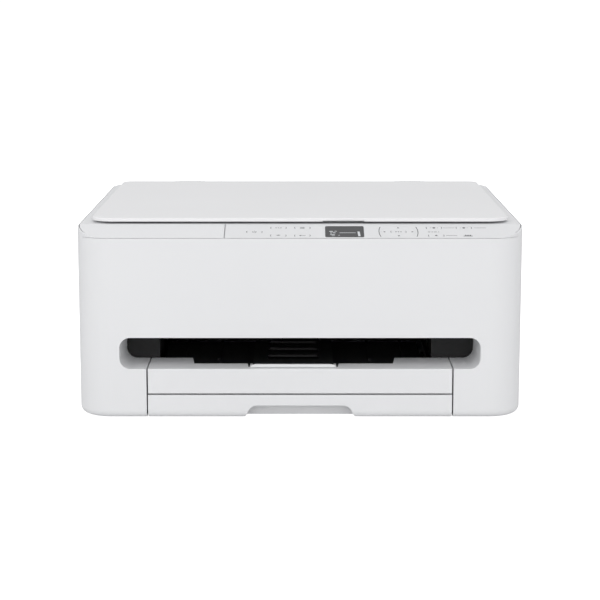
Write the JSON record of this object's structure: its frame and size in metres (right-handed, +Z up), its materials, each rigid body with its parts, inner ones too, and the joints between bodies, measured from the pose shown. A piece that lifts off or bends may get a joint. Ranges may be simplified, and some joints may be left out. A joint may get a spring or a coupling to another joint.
{
  "type": "inkjet printer",
  "caption": "Compact white flatbed inkjet printer with a front output slot, a pull-out paper cassette, a lifting scanner and a sloped key strip.",
  "frame": {"origin": "middle of the footprint, on the surface that the feet stand on", "axes": "+X to the right seen from the front, +Y to the back, +Z up"},
  "size_m": [0.374, 0.345, 0.167],
  "materials": {
    "white_shell": "fine-textured satin white",
    "lid_white": "fine-textured satin white",
    "panel_white": "smooth satin white",
    "key_white": "smooth satin white",
    "dark_plastic": "matt dark",
    "grey_plastic": "matt mid grey",
    "tray_grey": "matt light grey",
    "black_plate": "matt near black",
    "display": "clear window over a dark display",
    "glass": "clear float glass",
    "pad_foam": "white foam with a smooth film",
    "rubber": "matt rubber",
    "steel": "zinc-plated sheet",
    "shaft_steel": "ground steel",
    "motor_can": "drawn can",
    "gear_white": "natural acetal",
    "ink_black": "glossy tank moulding",
    "board_green": "solder resist",
    "socket_black": "moulded socket"
  },
  "bodies": {
    "chassis": {"body_shell": "white_shell", "rear_panel": "white_shell", "base_tray": "grey_plastic", "rubber_feet": "rubber", "slot_bezel": "dark_plastic", "upper_guides": "dark_plastic", "print_platen": "dark_plastic", "main_frame": "steel", "carriage_rod": "shaft_steel", "timing_belt": "rubber", "carriage_motor": "motor_can", "feed_motor": "motor_can", "purge_station": "grey_plastic", "main_board": "board_green", "power_supply": "grey_plastic", "power_inlet": "socket_black", "usb_port": "socket_black"},
    "rear_door": {"rear_cover": "white_shell"},
    "output_drawer": {"output_front": "white_shell", "output_tray": "black_plate"},
    "support": {"output_support": "tray_grey"},
    "cassette": {"cassette_front": "white_shell", "cassette_tray": "tray_grey"},
    "guide_left": {"paper_guide_left": "grey_plastic"},
    "guide_right": {"paper_guide_right": "grey_plastic"},
    "guide_rear": {"paper_guide_rear": "grey_plastic"},
    "feed_shaft": {"feed_roller": "shaft_steel", "feed_gear": "gear_white"},
    "pinion": {"motor_pinion": "gear_white"},
    "transfer": {"transfer_gear": "gear_white"},
    "exit_shaft": {"exit_roller": "rubber", "exit_gear": "gear_white"},
    "pinch": {"pinch_rollers": "gear_white"},
    "stars": {"star_wheels": "shaft_steel"},
    "pick_arm": {"pickup_arm": "grey_plastic"},
    "pick_roller": {"pickup_roller": "rubber"},
    "carriage_unit": {"carriage": "dark_plastic", "print_head": "dark_plastic", "ink_tanks": "ink_black"},
    "drive_pulley": {"belt_drive_pulley": "gear_white"},
    "idler_pulley": {"belt_idler_pulley": "gear_white"},
    "scanner": {"scanner_frame": "white_shell", "scanner_base": "grey_plastic", "platen_glass": "glass", "scan_rod": "shaft_steel", "control_panel": "panel_white", "display_window": "display"},
    "scan_head": {"scan_bar": "dark_plastic"},
    "lid": {"document_cover": "lid_white", "document_pad": "pad_foam"},
    "nav": {"nav_key": "key_white"},
    "ok": {"ok_button": "key_white"},
    "power_key": {"power_button": "key_white"},
    "info_key": {"info_button": "key_white"},
    "wireless_key": {"wireless_button": "key_white"},
    "setup_key": {"setup_button": "key_white"},
    "back_key": {"back_button": "key_white"},
    "mono_start_key": {"mono_start_button": "key_white"},
    "colour_start_key": {"colour_start_button": "key_white"},
    "stop_key": {"stop_button": "key_white"}
  },
  "joints": [
    {"name": "rear_cover_hinge", "type": "hinge", "parent": "chassis", "child": "rear_door", "pos_m": [-0.01, 0.1698, 0.063], "axis": [-1, 0, 0], "range_deg": [0, 80]},
    {"name": "output_drawer_slide", "type": "slide", "parent": "chassis", "child": "output_drawer", "axis": [0, -1, 0], "range_m": [0, 0.12]},
    {"name": "output_support_slide", "type": "slide", "parent": "output_drawer", "child": "support", "axis": [0, -1, 0], "range_m": [0, 0.085]},
    {"name": "cassette_slide", "type": "slide", "parent": "chassis", "child": "cassette", "axis": [0, -1, 0], "range_m": [0, 0.26]},
    {"name": "guide_left_slide", "type": "slide", "parent": "cassette", "child": "guide_left", "axis": [1, 0, 0], "range_m": [0, 0.035]},
    {"name": "guide_right_slide", "type": "slide", "parent": "cassette", "child": "guide_right", "axis": [1, 0, 0], "range_m": [-0.035, 0]},
    {"name": "guide_rear_slide", "type": "slide", "parent": "cassette", "child": "guide_rear", "axis": [0, -1, 0], "range_m": [0, 0.07]},
    {"name": "feed_spin", "type": "hinge", "parent": "chassis", "child": "feed_shaft", "pos_m": [0, 0.03, 0.06], "axis": [1, 0, 0], "continuous": true},
    {"name": "pinion_spin", "type": "hinge", "parent": "chassis", "child": "pinion", "pos_m": [-0.166, 0.04688, 0.04584], "axis": [1, 0, 0], "continuous": true},
    {"name": "transfer_spin", "type": "hinge", "parent": "chassis", "child": "transfer", "pos_m": [-0.166, -0.0075, 0.059], "axis": [1, 0, 0], "continuous": true},
    {"name": "exit_spin", "type": "hinge", "parent": "chassis", "child": "exit_shaft", "pos_m": [0, -0.045, 0.058], "axis": [1, 0, 0], "continuous": true},
    {"name": "pinch_spin", "type": "hinge", "parent": "chassis", "child": "pinch", "pos_m": [0, 0.03, 0.0703], "axis": [1, 0, 0], "continuous": true},
    {"name": "star_spin", "type": "hinge", "parent": "chassis", "child": "stars", "pos_m": [0, -0.045, 0.0673], "axis": [1, 0, 0], "continuous": true},
    {"name": "pickup_arm_lift", "type": "hinge", "parent": "chassis", "child": "pick_arm", "pos_m": [0, 0.05, 0.042], "axis": [1, 0, 0], "range_deg": [0, 8]},
    {"name": "pickup_spin", "type": "hinge", "parent": "pick_arm", "child": "pick_roller", "pos_m": [0, 0.092, 0.0246], "axis": [1, 0, 0], "continuous": true},
    {"name": "carriage_slide", "type": "slide", "parent": "chassis", "child": "carriage_unit", "axis": [-1, 0, 0], "range_m": [0, 0.245]},
    {"name": "drive_pulley_spin", "type": "hinge", "parent": "chassis", "child": "drive_pulley", "pos_m": [0.166, 0.054, 0.091], "axis": [0, 1, 0], "continuous": true},
    {"name": "idler_pulley_spin", "type": "hinge", "parent": "chassis", "child": "idler_pulley", "pos_m": [-0.146, 0.054, 0.091], "axis": [0, 1, 0], "continuous": true},
    {"name": "scanner_hinge", "type": "hinge", "parent": "chassis", "child": "scanner", "pos_m": [0, 0.158, 0.158], "axis": [-1, 0, 0], "range_deg": [0, 45]},
    {"name": "scan_bar_slide", "type": "slide", "parent": "scanner", "child": "scan_head", "axis": [1, 0, 0], "range_m": [0, 0.312]},
    {"name": "lid_hinge", "type": "hinge", "parent": "scanner", "child": "lid", "pos_m": [0, 0.1515, 0.1641], "axis": [-1, 0, 0], "range_deg": [0, 85]},
    {"name": "power_key_press", "type": "slide", "parent": "scanner", "child": "power_key", "axis": [0, 0.3035, -0.9528], "range_m": [0, 0.0006], "stiffness_N_per_m": 400},
    {"name": "info_key_press", "type": "slide", "parent": "scanner", "child": "info_key", "axis": [0, 0.3035, -0.9528], "range_m": [0, 0.0006], "stiffness_N_per_m": 400},
    {"name": "wireless_key_press", "type": "slide", "parent": "scanner", "child": "wireless_key", "axis": [0, 0.3035, -0.9528], "range_m": [0, 0.0006], "stiffness_N_per_m": 400},
    {"name": "setup_key_press", "type": "slide", "parent": "scanner", "child": "setup_key", "axis": [0, 0.3035, -0.9528], "range_m": [0, 0.0006], "stiffness_N_per_m": 400},
    {"name": "back_key_press", "type": "slide", "parent": "scanner", "child": "back_key", "axis": [0, 0.3035, -0.9528], "range_m": [0, 0.0006], "stiffness_N_per_m": 400},
    {"name": "mono_start_key_press", "type": "slide", "parent": "scanner", "child": "mono_start_key", "axis": [0, 0.3035, -0.9528], "range_m": [0, 0.0006], "stiffness_N_per_m": 400},
    {"name": "colour_start_key_press", "type": "slide", "parent": "scanner", "child": "colour_start_key", "axis": [0, 0.3035, -0.9528], "range_m": [0, 0.0006], "stiffness_N_per_m": 400},
    {"name": "stop_key_press", "type": "slide", "parent": "scanner", "child": "stop_key", "axis": [0, 0.3035, -0.9528], "range_m": [0, 0.0006], "stiffness_N_per_m": 400},
    {"name": "nav_key_press", "type": "slide", "parent": "scanner", "child": "nav", "axis": [0, 0.3035, -0.9528], "range_m": [0, 0.0006], "stiffness_N_per_m": 500},
    {"name": "ok_key_press", "type": "slide", "parent": "scanner", "child": "ok", "axis": [0, 0.3035, -0.9528], "range_m": [0, 0.0006], "stiffness_N_per_m": 400}
  ],
  "couplings": [
    {"joint": "guide_right_slide", "follows": "guide_left_slide", "ratio": -1},
    {"joint": "pinion_spin", "follows": "feed_spin", "ratio": -2.6667},
    {"joint": "transfer_spin", "follows": "feed_spin", "ratio": -0.74419},
    {"joint": "exit_spin", "follows": "feed_spin", "ratio": 1},
    {"joint": "pinch_spin", "follows": "feed_spin", "ratio": -1.5},
    {"joint": "star_spin", "follows": "feed_spin", "ratio": -1.25},
    {"joint": "drive_pulley_spin", "follows": "carriage_slide", "rad_per_m": 151.52},
    {"joint": "idler_pulley_spin", "follows": "carriage_slide", "rad_per_m": 151.52}
  ]
}
